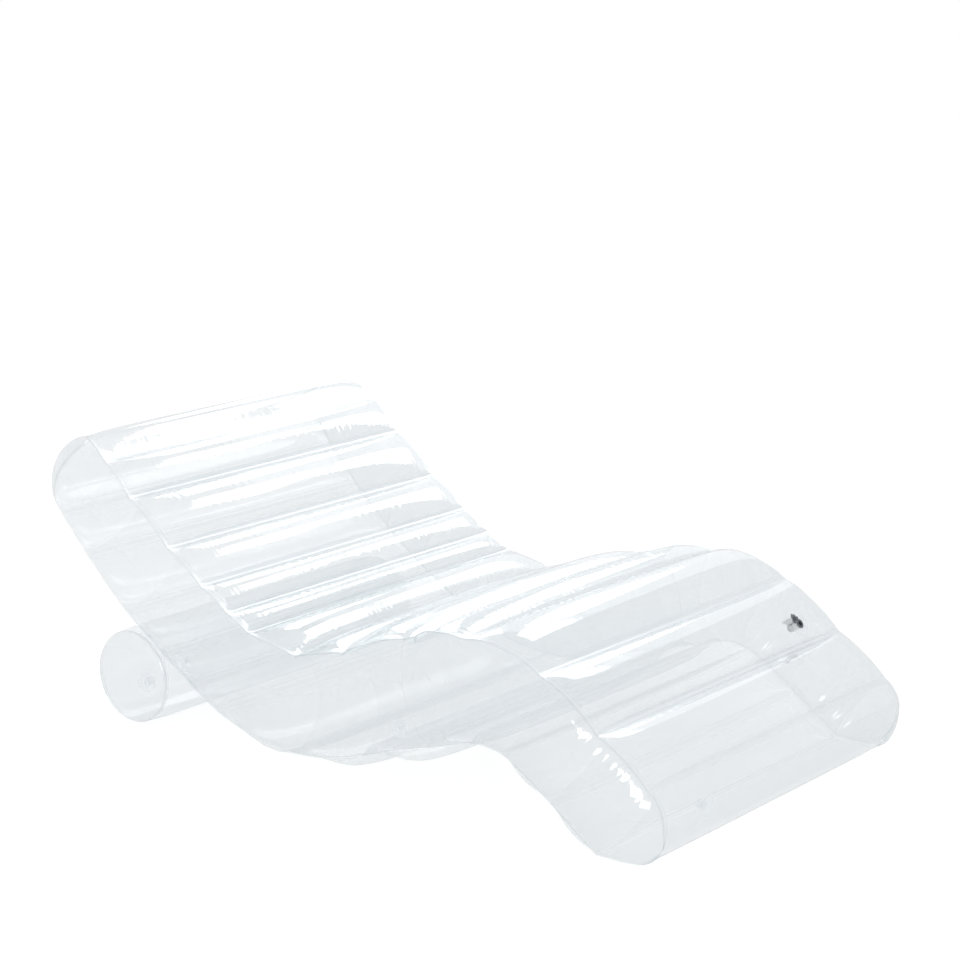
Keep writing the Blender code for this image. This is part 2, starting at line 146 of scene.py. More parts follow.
def makeFilm(name, **changes):
    look = dict(filmLook, **changes)
    material, graph = newMaterial(name)
    facing = graph.add("ShaderNodeLayerWeight", {}, {"Blend": 0.5}, output="Facing")
    weld, edge, slack = [graph.add("ShaderNodeAttribute", {"attribute_name": label}, output="Fac")
                         for label in layerNames]
    place = graph.add("ShaderNodeUVMap", {"uv_map": "metres"})
    cover = look["gloss"] + look["turned"] * facing ** look["turnPower"]
    cover = cover + look["weldShare"] * weld + look["weldLine"] * edge
    cover = cover.maths("MINIMUM", cover, look["mostCover"]) * lighterShadow(graph)
    fine = graph.add("ShaderNodeTexNoise", {"noise_dimensions": "3D"},
                     {"Vector": place, "Scale": look["fineScale"], "Detail": 3.0,
                      "Roughness": 0.55})
    crease = graph.add("ShaderNodeTexNoise", {"noise_dimensions": "3D"},
                       {"Vector": place, "Scale": look["creaseScale"], "Detail": 2.0,
                        "Roughness": 0.4})
    height = (fine * (look["fineTaut"] + slack) * look["fineDepth"]
              + crease * (look["creaseTaut"] + slack) * look["creaseDepth"])
    bump = graph.add("ShaderNodeBump", {},
                     {"Strength": look["bump"], "Distance": 1.0, "Height": height})
    roughness = look["roughness"] + look["weldRoughness"] * weld
    gloss = graph.add("ShaderNodeBsdfPrincipled", {},
                      {"Base Color": look["colour"], "Roughness": roughness,
                       "Metallic": look["metal"], "IOR": look["ior"], "Normal": bump})
    through = graph.add("ShaderNodeBsdfTransparent", {}, {"Color": look["tint"]})
    mixed = graph.add("ShaderNodeMixShader", {}, {0: cover, 1: through, 2: gloss})
    graph.add("ShaderNodeOutputMaterial", {}, {"Surface": mixed})
    return material


# Painted light: the bottom film, ribs and dividers are the same vinyl as the top film, painted
# paler to make up for the light the outer films keep from them
paintedLightColour = (0.89, 0.92, 0.935, 1)
film = makeFilm("clearFilm")
wallFilm = makeFilm("wallFilm", gloss=0.49, weldLine=0.12)
lowFilm = makeFilm("lowFilm", colour=paintedLightColour, gloss=0.39, weldLine=0.08, roughness=0.12,
                   metal=0.3)
# Painted light: the roll's tube is the same vinyl, painted paler against the shade under and inside
# the roll
rollPaintedLightFilm = makeFilm("rollPaintedLightFilm", colour=(0.84, 0.875, 0.895, 1), gloss=0.36, metal=0.3)
innerFilm = makeFilm("innerFilm", colour=paintedLightColour, gloss=0.10, turned=0.12, weldLine=0.10,
                     roughness=0.3, metal=0.0)
print("film materials made")

# The mattress's mid-line, weld places and sizes, the same as its solids have
mattress = dict(
    filmThickness=0.0005, weldGap=0.0003, weldLand=0.008, seamLip=0.002, restFlat=0.0005,
    seamWidth=0.87, chamberDepth=0.187, wallBulge=0.041, headCorner=0.085, footCorner=0.03,
    # the mid-line's stretches from nose to nose, and its slope in degrees at each one's ends
    headNose=0.10, runs=(0.42, 0.07, 0.335, 0.30, 0.21, 0.25), footNose=0.08, step=0.002,
    slopes=(-47.0, -47.0, -32.0, -32.0, 17.5, 16.3, -36.0, -36.0, -36.0),
    # welds, as shares of the ribs' run, and what a rib or divider keeps clear of the sides
    ribPlaces=(0.0, 0.066, 0.160, 0.236, 0.340, 0.452, 0.549, 0.670, 0.736, 0.818, 0.910, 1.0),
    dividerPlaces=(0.291, 0.655), ribMargin=0.017, ribBow=0.05, dividerMargin=0.0016,
    # a channel's height, as a share of its width
    topCrowns=(0.23, 0.23, 0.27, 0.34, 0.25, 0.21), bottomCrown=0.40, crownPower=0.8,
    topCrownsAt=(0.0, 0.50, 0.60, 0.695, 0.777, 0.90),
    # how the channels fall off towards the side seams
    sideFall=0.416, sideFallPower=5, topEndFall=0.384, lowEndFall=0.584, endFallPower=24,
    # how far the films stand off past the ribs' ends
    sideStart=0.94, sideSwellsAt=(0.0, 0.15, 0.35, 0.55, 0.62, 0.69, 0.74, 0.79, 0.88),
    topSideSwells=(0.002, 0.003, 0.004, 0.006, 0.010, 0.018, 0.003, 0.0, 0.0),
    bottomSideSwells=(0.002, 0.014, 0.014, 0.016, 0.016, 0.016, 0.015, 0.011, 0.0),
    # the solids' own rows, which settle the floor's level and the middle
    solidShares=(0.25, 0.5, 0.75), solidAngles=(90, 84, 70, 54, 36, 18))
depthHalf = mattress["chamberDepth"] / 2
widthHalf = mattress["seamWidth"] / 2
weldGap = mattress["weldGap"]
skin = mattress["filmThickness"] + weldGap  # what lies inside the films keeps this far in
land = mattress["weldLand"]
ribRun = sum(mattress["runs"])
ribAlong = [share * ribRun for share in mattress["ribPlaces"]]
dividerAlong = [share * ribRun for share in mattress["dividerPlaces"]]
weldAlong = sorted(ribAlong + dividerAlong)


def walkMidline():
    runs = (mattress["headNose"],) + mattress["runs"] + (mattress["footNose"],)
    marks = np.cumsum((-mattress["headNose"],) + runs)
    along = np.arange(marks[0], marks[-1] + mattress["step"], mattress["step"])
    slope = np.interp(along, marks, np.radians(mattress["slopes"]))
    step = np.gradient(along)
    return along, np.cumsum(np.cos(slope) * step), np.cumsum(np.sin(slope) * step), slope


walked, walkedX, walkedZ, walkedSlope = walkMidline()


def sectionPoint(along, depth):
    slope = np.interp(along, walked, walkedSlope)
    x = np.interp(along, walked, walkedX) - depth * np.sin(slope)
    z = np.interp(along, walked, walkedZ) + depth * np.cos(slope)
    return x, z


# Rows of the films: arc length, half depth, swell, pitch, distance to the nearest weld
def filmRows(channelShares, noseAngles):
    rows = []

    def nose(start, sign, reach, angles):
        for angle in angles:
            run = (reach - land / 2) * math.sin(angle)
            rows.append((start + sign * (land / 2 + run), depthHalf * math.cos(angle),
                         math.sin(2 * angle) ** 2, reach, run))

    nose(0.0, -1, mattress["headNose"], noseAngles)
    for weld, following in zip(weldAlong, weldAlong[1:] + [None]):
        rows.append((weld - land / 2, depthHalf, 0.0, 0.0, 0.0))
        rows.append((weld + land / 2, depthHalf, 0.0, 0.0, 0.0))
        if following is None:
            break
        start = weld + land / 2
        run = following - land / 2 - start
        if run < 2 * land:  # too narrow to swell
            continue
        for share in channelShares:
            swell = (4 * share * (1 - share)) ** mattress["crownPower"]
            rows.append((start + share * run, depthHalf, swell, run, run * min(share, 1 - share)))
    nose(ribRun, 1, mattress["footNose"], list(reversed(noseAngles)))
    return np.array(rows)


# side is 1 for the top film and -1 for the bottom one; share runs from -1 to 1 across
def acrossCrown(side, share):
    size = np.abs(share)
    endFall = mattress["topEndFall"] if side > 0 else mattress["lowEndFall"]
    fall = mattress["sideFall"] * size ** mattress["sideFallPower"]
    return 1 - fall - endFall * size ** mattress["endFallPower"]


def crownShare(side, along):
    top = np.interp(along / ribRun, mattress["topCrownsAt"], mattress["topCrowns"])
    return top if side > 0 else 0 * top + mattress["bottomCrown"]


def sideSwells(side):
    return mattress["topSideSwells"] if side > 0 else mattress["bottomSideSwells"]


# Past the ribs' ends the films stand off further, so the side seams run smooth
def sideSwell(side, along, share):
    start = mattress["sideStart"]
    past = np.clip((np.abs(share) - start) / (1 - start), 0, 1)
    return np.interp(along / ribRun, mattress["sideSwellsAt"], sideSwells(side)) * past ** 2


# Half width at each place along, with its rounded corners, and the way outwards there
def planAt(along):
    along = np.asarray(along, float)
    atHead = along < ribRun / 2
    corner = np.where(atHead, mattress["headCorner"], mattress["footCorner"])
    past = np.where(atHead, -along - mattress["headNose"], along - ribRun - mattress["footNose"])
    turn = np.clip(1 + past / corner, 0, 1)
    inset = np.sqrt(1 - turn * turn)
    return widthHalf - corner * (1 - inset), np.where(atHead, -turn, turn), inset


coarse = filmRows(mattress["solidShares"], [math.radians(a) for a in mattress["solidAngles"]])


def coarseLine(side):
    swell = crownShare(side, coarse[:, 0]) * coarse[:, 2] * coarse[:, 3]
    return sectionPoint(coarse[:, 0], side * (np.maximum(coarse[:, 1], weldGap) + swell))


topX, topZ = coarseLine(1)
lowX, lowZ = coarseLine(-1)
seat = ((coarse[:, 0] > mattress["runs"][0])
        & (coarse[:, 0] < ribRun - sum(mattress["runs"][-2:])))
floorLevel = lowZ[seat].min() + mattress["restFlat"]
middle = (min(topX.min(), lowX.min()) + max(topX.max(), lowX.max())) / 2


def placed(x, y, z, lift=0.0):
    return np.stack([x - middle, y + 0 * x, np.maximum(z - floorLevel, lift)], -1)


# Puckers: short creases that run away from a weld, patchy along it, calm at head and foot
pucker = dict(depth=0.0005, reach=0.011, low=0.012, high=0.036, patchLow=0.09, patchHigh=0.4,
              calm=0.25, calmFrom=0.80)


def ridges(across, seed, low, high, count=9):
    chance = np.random.default_rng(seed)
    total = np.zeros_like(across)
    for _ in range(count):
        length, phase = chance.uniform(low, high), chance.uniform(0, math.pi)
        total = total + (1 - 2 * np.abs(np.sin(math.pi * across / length + phase)))
    return total / math.sqrt(count)


def patches(across, seed, low, high, count=4, contrast=0.35):
    chance = np.random.default_rng(seed)
    total = np.zeros_like(across)
    for _ in range(count):
        length, phase = chance.uniform(low, high), chance.uniform(0, 6.3)
        total = total + np.sin(2 * math.pi * across / length + phase)
    return np.clip(0.5 + contrast * total, 0, 1)


# Rises from nothing at a weld to 1 at the reach, then dies away
def humpAt(distance, reach):
    return distance / reach * np.exp(1 - distance / reach)


def filmPuckers(rows, y, seed):
    total = np.zeros_like(y)
    for index, weld in enumerate(weldAlong):
        atEnd = weld == weldAlong[0] or weld > pucker["calmFrom"] * ribRun
        calm = pucker["calm"] if atEnd else 1
        for hand in (-1, 1):
            past = hand * (rows[:, 0] - weld) - land / 2
            near = np.where(past > 0, humpAt(past, pucker["reach"]), 0)[:, None]
            wave = ridges(y, seed + 40 * index + hand, pucker["low"], pucker["high"])
            wave = wave * patches(y, seed + 40 * index + 7 * hand, pucker["patchLow"],
                                  pucker["patchHigh"]) * calm
            total = total + pucker["depth"] * near * wave
    return total


# A film from a grid of points; cut marks the grid's cells that stay open
def meshPiece(name, points, material, closedAround=False, flip=False, layers=None, uv=None,
              cut=None):
    rows, columns = points.shape[:2]
    index = np.arange(rows * columns).reshape(rows, columns)
    if closedAround:
        following = np.roll(index, -1, axis=1)
        quads = np.stack([index[:-1], following[:-1], following[1:], index[1:]], -1)
    else:
        quads = np.stack([index[:-1, :-1], index[:-1, 1:], index[1:, 1:], index[1:, :-1]], -1)
    quads = quads.reshape(-1, 4)
    if cut is not None:
        quads = quads[~cut.reshape(-1)]
    if flip:
        quads = quads[:, ::-1]
    used, quads = np.unique(quads, return_inverse=True)
    quads = quads.reshape(-1, 4)
    mesh = bpy.data.meshes.new(name)
    mesh.vertices.add(len(used))
    spots = points.reshape(-1, 3)[used]
    mesh.vertices.foreach_set("co", spots.reshape(-1).astype(np.float32))
    mesh.loops.add(quads.size)
    mesh.loops.foreach_set("vertex_index", quads.reshape(-1).astype(np.int32))
    mesh.polygons.add(len(quads))
    mesh.polygons.foreach_set("loop_start", np.arange(0, quads.size, 4, dtype=np.int32))
    mesh.update(calc_edges=True)
    for label in layerNames:
        values = (layers or {}).get(label, np.zeros((rows, columns)))
        values = np.broadcast_to(values, (rows, columns)).reshape(-1)[used]
        attribute = mesh.attributes.new(label, "FLOAT", "POINT")
        attribute.data.foreach_set("value", values.astype(np.float32))
    if uv is not None:
        corners = uv.reshape(-1, 2)[used][quads.reshape(-1)]
        layer = mesh.uv_layers.new(name="metres")
        layer.data.foreach_set("uv", corners.reshape(-1).astype(np.float32))
    mesh.shade_smooth()
    mesh.materials.append(material)
    piece = bpy.data.objects.new(name, mesh)
    scene.collection.objects.link(piece)
    return piece


# Valves: a film settles flat under a valve's flange and opens for its sleeve. flatTo and
# settledTo are in flange radii, opening and blockShare in sleeve radii, the lengths in metres
valveSeat = dict(rimShare=0.9, sleeveBelow=0.003, under=0.0003, reach=0.012, flatTo=1.05,
                 settledTo=1.55, opening=1.08, blockShare=0.8)


def measureValve(name):
    joint = next(row for row in frame["joints"] if row["name"] == f"{name}_stem_slide")
    axis = Vector(joint["axis"]).normalized()
    across = axis.orthogonal().normalized()
    flange = frame["nodes"][f"{name}_flange"]
    spots = np.array([flange.matrix_world @ vertex.co for vertex in flange.data.vertices])
    sides = np.array([axis, across, axis.cross(across)])
    local = spots @ sides.T
    mid = (local.min(axis=0) + local.max(axis=0)) / 2
    radius = np.hypot(local[:, 1] - mid[1], local[:, 2] - mid[2])
    rim = radius.max()
    under = local[radius > valveSeat["rimShare"] * rim, 0].min()
    sleeve = radius[local[:, 0] < under - valveSeat["sleeveBelow"]].max()
    centre = np.array([under - valveSeat["under"], mid[1], mid[2]]) @ sides
    return centre, np.array(axis), rim, sleeve


# First and last row and column of the grid cells that the sleeve goes through
def cellsToOpen(distance, limit):
    row, column = np.unravel_index(distance.argmin(), distance.shape)
    block = []
    for line, place in ((distance[:, column], row), (distance[row], column)):
        outside = np.flatnonzero(line >= limit)
        block += [outside[outside < place].max(), outside[outside > place].min()]
    return block


# Gives the settled points and the cells to open. A closed piece's columns turn first, so that
# its first and last ones lie away from the valve
def fitValve(points, uv, name, closedAround=False):
    centre, axis, rim, sleeve = measureValve(name)
    if closedAround:
        nearest = np.linalg.norm(points - centre, axis=-1).argmin() % points.shape[1]
        turn = points.shape[1] // 2 - nearest
        points, uv = np.roll(points, turn, axis=1), np.roll(uv, turn, axis=1)
    height = (points - centre) @ axis
    level = points - centre - height[..., None] * axis
    distance = np.linalg.norm(level, axis=-1)
    closeBy = np.clip(2 - 2 * np.abs(height) / valveSeat["reach"], 0, 1)
    end = valveSeat["settledTo"]
    settled = np.clip((end - distance / rim) / (end - valveSeat["flatTo"]), 0, 1) * closeBy
    settled = settled ** 2 * (3 - 2 * settled)
    height = height * (1 - settled)
    opening, limit = valveSeat["opening"] * sleeve, valveSeat["blockShare"] * sleeve
    flat = np.where(closeBy > 0, distance, np.inf)
    top, bottom, left, right = cellsToOpen(flat, limit)
    inBlock = np.zeros(flat.shape, bool)
    inBlock[top:bottom + 1, left:right + 1] = True
    stretched = 2 * opening - (2 * opening - distance) * opening / (2 * opening - limit)
    wanted = np.where(flat < 2 * opening, np.maximum(stretched, opening), distance)
    wanted = np.where(inBlock, opening, wanted)
    level = level * (wanted / np.maximum(distance, 1e-6))[..., None]
    cut = np.zeros((points.shape[0] - 1, points.shape[1] - (0 if closedAround else 1)), bool)
    cut[top:bottom, left:right] = True
    return centre + level + height[..., None] * axis, uv, cut


def onMattress(piece, *nodes):
    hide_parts(*nodes)
    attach(piece, "mattress")


# Welds and air hold each film taut: its mesh's area over its width is the length it was cut to
def stretchedSheet(piece, width):
    area = sum(polygon.area for polygon in piece.data.polygons)
    area / width


# How the weld, edge and slack layers fade with the distance from a weld or a seam, in metres
fade = dict(weld=0.006, seam=0.012, lineAt=0.0015, line=0.0016, seamLineAt=0.003, seamLine=0.002,
            slack=0.014, seamSlack=0.03, rimLine=0.003, rollSlack=0.02)


def bell(distance, width):
    return np.exp(-(distance / width) ** 2)


# The layers of a piece that is welded at its rim alone
def rimLayers(distance, slack):
    line = bell(distance, fade["rimLine"])
    return dict(weld=line, edge=line, slack=np.exp(-distance / slack))


# Top and bottom films, with rows that crowd towards the welds
quilt = dict(rowsPerChannel=13, rowStart=0.35, rowSpare=0.3, rowsPerNose=18, columns=330, seed=11,
             lowColumns=220, lowSeed=511)


def quiltRows():
    count = quilt["rowsPerChannel"]
    shares = [0.5 - 0.5 * math.cos(math.pi * (k + quilt["rowStart"]) / (count - quilt["rowSpare"]))
              for k in range(count)]
    angles = [math.pi / 2 * (1 - k / quilt["rowsPerNose"]) for k in range(quilt["rowsPerNose"])]
    return filmRows(shares, angles)


def quiltFilm(side, rows, columns, seed):
    share = np.linspace(-1, 1, columns)[None, :]
    half, outX, outY = planAt(rows[:, 0])
    y = share * half[:, None]
    crown = (crownShare(side, rows[:, 0]) * rows[:, 2] * rows[:, 3])[:, None]
    swell = acrossCrown(side, share) * crown
    swell = swell + sideSwell(side, rows[:, :1], share) * rows[:, 1:2] / depthHalf
    depth = np.maximum(rows[:, 1], weldGap)[:, None] + swell + filmPuckers(rows, y, seed)
    along = np.broadcast_to(rows[:, 0][:, None], depth.shape)
    x, z = sectionPoint(along, side * depth)
    strips = [placed(x, y, z)]
    for column, hand in ((0, -1), (-1, 1)):  # the seams' welded lips
        lipX, lipZ = sectionPoint(rows[:, 0] + mattress["seamLip"] * outX, side * depth[:, column])
        lip = placed(lipX, hand * (half + mattress["seamLip"] * outY), lipZ)[:, None, :]
        strips = [lip, *strips] if hand < 0 else [*strips, lip]
    points = np.concatenate(strips, axis=1)
    fromSeam = np.pad(half[:, None] * (1 - np.abs(share)), ((0, 0), (1, 1)))
    toWeld = rows[:, 4][:, None]
    weld = np.maximum(bell(toWeld, fade["weld"]), bell(fromSeam, fade["seam"]))
    edge = np.maximum(bell(toWeld - fade["lineAt"], fade["line"]),
                      bell(fromSeam - fade["seamLineAt"], fade["seamLine"]))
    slack = np.maximum(np.exp(-toWeld / fade["slack"]), np.exp(-fromSeam / fade["seamSlack"]))
    uv = np.stack([points[..., 1], np.broadcast_to(rows[:, 0][:, None], points.shape[:2])], -1)
    return points, dict(weld=weld, edge=edge, slack=slack), uv


rows = quiltRows()
points, layers, uv = quiltFilm(1, rows, quilt["columns"], quilt["seed"])
points, uv, legCut = fitValve(points, uv, "leg_valve")
points, uv, footCut = fitValve(points, uv, "foot_valve")
topFilm = meshPiece("top_film", points, film, layers=layers, uv=uv, cut=legCut | footCut)
onMattress(topFilm, "top_sheet")
stretchedSheet(topFilm, mattress["seamWidth"])
points, layers, uv = quiltFilm(-1, rows, quilt["lowColumns"], quilt["lowSeed"])
bottomFilm = meshPiece("bottom_film", points, lowFilm, flip=True, layers=layers, uv=uv)
onMattress(bottomFilm, "bottom_sheet")
stretchedSheet(bottomFilm, mattress["seamWidth"])
print("films made:", len(topFilm.data.polygons), "and", len(bottomFilm.data.polygons), "faces")

# Side walls: each chamber's wall swells out between the top and the bottom seam
wall = dict(upright=34, between=0.006, bulgePower=0.8, clearEnd=0.001, seed=90, lean=1.3,
            leanRun=0.04, puckerDepth=0.0022, puckerReach=0.03, puckerLow=0.016, puckerHigh=0.05,
            patchLow=0.1, patchHigh=0.4, puckersFrom=0.1)


def seamLine(side, rows):
    swell = acrossCrown(side, 1.0) * crownShare(side, rows[:, 0]) * rows[:, 2] * rows[:, 3]
    swell = swell + sideSwell(side, rows[:, 0], 1.0) * rows[:, 1] / depthHalf
    x, z = sectionPoint(rows[:, 0], side * (np.maximum(rows[:, 1], weldGap) + swell))
    line = np.stack([x, np.maximum(z, floorLevel)], -1)
    way = np.gradient(line, axis=0)
    way = way / np.linalg.norm(way, axis=1)[:, None]
    lean = np.interp(rows[:, 0] / ribRun, mattress["sideSwellsAt"], sideSwells(side))
    lean = lean / (wall["leanRun"] * widthHalf)
    inward = skin + wall["lean"] * mattress["filmThickness"] * lean
    line = line + np.stack([way[:, 1], -way[:, 0]], -1) * side * inward[:, None]
    # Inside a corner the moved line would fold: points that step back go between their neighbours
    kept = [0]
    for k in range(1, len(line)):
        if (line[k] - line[kept[-1]]) @ way[k] > 0:
            kept.append(k)
    return np.stack([np.interp(np.arange(len(line)), kept, line[kept, k]) for k in (0, 1)], -1)


seamTop, seamLow = seamLine(1, rows), seamLine(-1, rows)


def sideWall(hand, start, stop, seed):
    clear = wall["clearEnd"]
    inside = rows[(rows[:, 0] > start + clear) & (rows[:, 0] < stop - clear), 0]
    marks = np.concatenate([[start], inside, [stop]])
    along = []
    for a, b in zip(marks, marks[1:]):
        along.extend(np.linspace(a, b, max(1, round((b - a) / wall["between"])), endpoint=False))
    along = np.array(along + [stop])
    top = np.stack([np.interp(along, rows[:, 0], seamTop[:, k]) for k in (0, 1)], -1)
    low = np.stack([np.interp(along, rows[:, 0], seamLow[:, k]) for k in (0, 1)], -1)
    height = np.sin(np.linspace(math.pi / 2, -math.pi / 2, wall["upright"]))[None, :]
    half, outX, outY = planAt(along)
    slope = np.interp(along, walked, walkedSlope)
    size = np.linalg.norm(top - low, axis=1)
    swell = mattress["wallBulge"] * np.minimum(1, size / (mattress["chamberDepth"] - 2 * skin))
    reach = swell[:, None] * np.maximum(1 - height ** 2, 0) ** wall["bulgePower"]
    fromSeam = (1 - np.abs(height)) * size[:, None] / 2
    station = np.broadcast_to(along[:, None], reach.shape)
    wave = np.where(height > 0, ridges(station, seed, wall["puckerLow"], wall["puckerHigh"]),
                    ridges(station, seed + 1, wall["puckerLow"], wall["puckerHigh"]))
    wave = wave * patches(station, seed + 2, wall["patchLow"], wall["patchHigh"])
    wave = wall["puckerDepth"] * humpAt(fromSeam, wall["puckerReach"]) * wave
    reach = reach + wave * np.minimum(1, size / wall["puckersFrom"])[:, None]
    across = top - low
    x = low[:, :1] + across[:, :1] * (1 + height) / 2 + reach * (outX * np.cos(slope))[:, None]
    z = low[:, 1:] + across[:, 1:] * (1 + height) / 2 + reach * (outX * np.sin(slope))[:, None]
    y = hand * (half[:, None] + reach * outY[:, None])
    uv = np.stack([station, height * size[:, None] / 2], -1)
    return placed(x, y, z, skin), rimLayers(fromSeam, fade["seamSlack"]), uv


wallEnds = [rows[1, 0], *dividerAlong, rows[-2, 0]]
for hand, handName in ((-1, "left"), (1, "right")):
    for zone, zoneName in enumerate(("back", "seat", "leg")):
        start = wallEnds[zone] + (weldGap / 2 if zone else 0)
        stop = wallEnds[zone + 1] - (weldGap / 2 if zone < 2 else 0)
        points, layers, uv = sideWall(hand, start, stop, wall["seed"] + 20 * zone + 3 * hand)
        cut = None
        if hand < 0 and zoneName != "leg":
            points, uv, cut = fitValve(points, uv, f"{zoneName}_valve")
        piece = meshPiece(f"{handName}_{zoneName}_film", points, wallFilm, flip=hand > 0,
                          layers=layers, uv=uv, cut=cut)
        onMattress(piece, f"{handName}_wall_{zoneName}")
        stretchedSheet(piece, stop - start)
print("side walls made")

# Ribs: one web shape, repeated along the mid-line by Geometry Nodes
ribWeb = dict(columns=90, levels=13, ripple=0.0012, rippleScale=7.0)


def ribTree():
    tree = bpy.data.node_groups.new("ribWebs", "GeometryNodeTree")
    tree.interface.new_socket("Places", in_out="INPUT", socket_type="NodeSocketGeometry")
    values = {"Half Width": widthHalf - mattress["ribMargin"], "Half Depth": depthHalf - skin,
              "End Bow": mattress["ribBow"], "Ripple": ribWeb["ripple"], "Floor": skin}
    for name, value in values.items():
        socket = tree.interface.new_socket(name, in_out="INPUT", socket_type="NodeSocketFloat")
        socket.default_value = value
    tree.interface.new_socket("Webs", in_out="OUTPUT", socket_type="NodeSocketGeometry")
    graph = Graph(tree)
    given = graph.add("NodeGroupInput")
    inputs = {name: graph.also(given, name) for name in ["Places", *values]}
    grid = graph.add("GeometryNodeMeshGrid", {},
                     {"Size X": 2.0, "Size Y": 2.0, "Vertices X": ribWeb["columns"],
                      "Vertices Y": ribWeb["levels"]})
    share = graph.add("ShaderNodeSeparateXYZ", {}, {0: graph.add("GeometryNodeInputPosition")})
    level = graph.also(share, 1)
    bow = inputs["End Bow"] * (1 - level * level)
    across = share * (inputs["Half Width"] - bow)
    upright = level * inputs["Half Depth"]
    noise = graph.add("ShaderNodeTexNoise", {"noise_dimensions": "3D"},
                      {"Vector": graph.add("GeometryNodeInputPosition"),
                       "Scale": ribWeb["rippleScale"], "Detail": 1.0})
    ripple = (noise - 0.5) * inputs["Ripple"] * 2.0 * (1 - level * level)
    where = graph.add("ShaderNodeCombineXYZ", {}, {0: ripple, 1: across, 2: upright})
    web = graph.add("GeometryNodeSetPosition", {}, {"Geometry": grid, "Position": where})
    slope = graph.add("GeometryNodeInputNamedAttribute", {"data_type": "FLOAT"},
                      {"Name": "slope"})
    turn = graph.add("ShaderNodeCombineXYZ", {}, {1: 0.0 - slope})
    turned = graph.add("FunctionNodeEulerToRotation", {}, {0: turn})
    webs = graph.add("GeometryNodeInstanceOnPoints", {},
                     {"Points": inputs["Places"], "Instance": web, "Rotation": turned})
    webs = graph.add("GeometryNodeRealizeInstances", {}, {0: webs})
    spot = graph.add("ShaderNodeSeparateXYZ", {}, {0: graph.add("GeometryNodeInputPosition")})
    height = graph.also(spot, 2)
    height = height.maths("MAXIMUM", height, inputs["Floor"])
    lifted = graph.add("ShaderNodeCombineXYZ", {}, {0: spot, 1: graph.also(spot, 1), 2: height})
    webs = graph.add("GeometryNodeSetPosition", {}, {"Geometry": webs, "Position": lifted})
    webs = graph.add("GeometryNodeSetShadeSmooth", {}, {0: webs})
    webs = graph.add("GeometryNodeSetMaterial", {}, {0: webs, "Material": innerFilm})
    graph.add("NodeGroupOutput", {}, {0: webs})
    return tree


def fromNodes(name, tree, start):
    source = bpy.data.objects.new(name + "_places", start)
    scene.collection.objects.link(source)
    modifier = source.modifiers.new(name, "NODES")
    modifier.node_group = tree
    evaluated = source.evaluated_get(bpy.context.evaluated_depsgraph_get())
    mesh = bpy.data.meshes.new_from_object(evaluated)
    bpy.data.objects.remove(source)
    mesh.name = name
    piece = bpy.data.objects.new(name, mesh)
    scene.collection.objects.link(piece)
    return piece


places = bpy.data.meshes.new("ribPlaces")
ribX, ribZ = sectionPoint(np.array(ribAlong), 0.0)
places.from_pydata([(x - middle, 0.0, z - floorLevel) for x, z in zip(ribX, ribZ)], [], [])
slopes = places.attributes.new("slope", "FLOAT", "POINT")
slopes.data.foreach_set("value", np.interp(ribAlong, walked, walkedSlope).astype(np.float32))
ribs = fromNodes("rib_webs", ribTree(), places)
onMattress(ribs, *[f"rib_{number:02d}" for number in range(1, len(ribAlong) + 1)])
stretchedSheet(ribs, mattress["seamWidth"])
print("ribs made:", len(ribs.data.polygons), "faces")

# Dividers: airtight webs that reach the walls
divider = dict(levels=25, columns=121, bulgePower=0.8, ripple=0.0008, rippleLow=0.05,
               rippleHigh=0.15, rippleCount=4, rimLevel=0.04, rimSide=0.004)


def dividerWeb(name, along, seed):
    level = np.linspace(1, -1, divider["levels"])[:, None]
    share = np.linspace(-1, 1, divider["columns"])[None, :]
    bulge = mattress["wallBulge"] * np.maximum(1 - level ** 2, 0) ** divider["bulgePower"]
    half = widthHalf - mattress["dividerMargin"] + bulge
    y = share * half
    atShare = np.minimum(np.abs(y) / widthHalf, 1)
    topX, topZ = sectionPoint(along, depthHalf - skin + sideSwell(1, along, atShare))
    lowX, lowZ = sectionPoint(along, skin - depthHalf - sideSwell(-1, along, atShare))
    wave = ridges(y, seed, divider["rippleLow"], divider["rippleHigh"], divider["rippleCount"])
    x = lowX + (topX - lowX) * (1 + level) / 2 + divider["ripple"] * wave * (1 - level ** 2)
    z = lowZ + (topZ - lowZ) * (1 + level) / 2
    rim = np.maximum(bell(1 - np.abs(level), divider["rimLevel"]),
                     bell((1 - np.abs(share)) * half, divider["rimSide"]))
    uv = np.stack([y, level * depthHalf + 0 * share], -1)
    piece = meshPiece(name + "_film", placed(x, y, z, skin), innerFilm,
                      layers=dict(weld=rim, edge=rim), uv=uv)
    onMattress(piece, name)
    stretchedSheet(piece, 2 * widthHalf)


dividerWeb("seat_divider", dividerAlong[0], 5)
dividerWeb("knee_divider", dividerAlong[1], 6)
print("dividers made")

# Bolster roll: a tube drawn in at both ends, and two domed caps
roll = dict(radius=0.103, halfLength=0.40, neck=0.003, neckRun=0.05, around=220, endRows=14,
            endRun=0.06, middleRows=50, middleRun=0.33, tubeSeed=3, capRows=30, capCrown=0.024,
            capPower=2.6, pole=0.02, capSeed=8, puckers=0.0012, puckerCounts=(17, 23, 31, 38),
            uneven=0.4, tubeFade=0.02, tubeStart=0.004, capFade=0.018, capStart=0.003)
rollLow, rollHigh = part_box("roll_tube")
rollX = (rollLow[0] + rollHigh[0]) / 2
rollZ = roll["radius"]


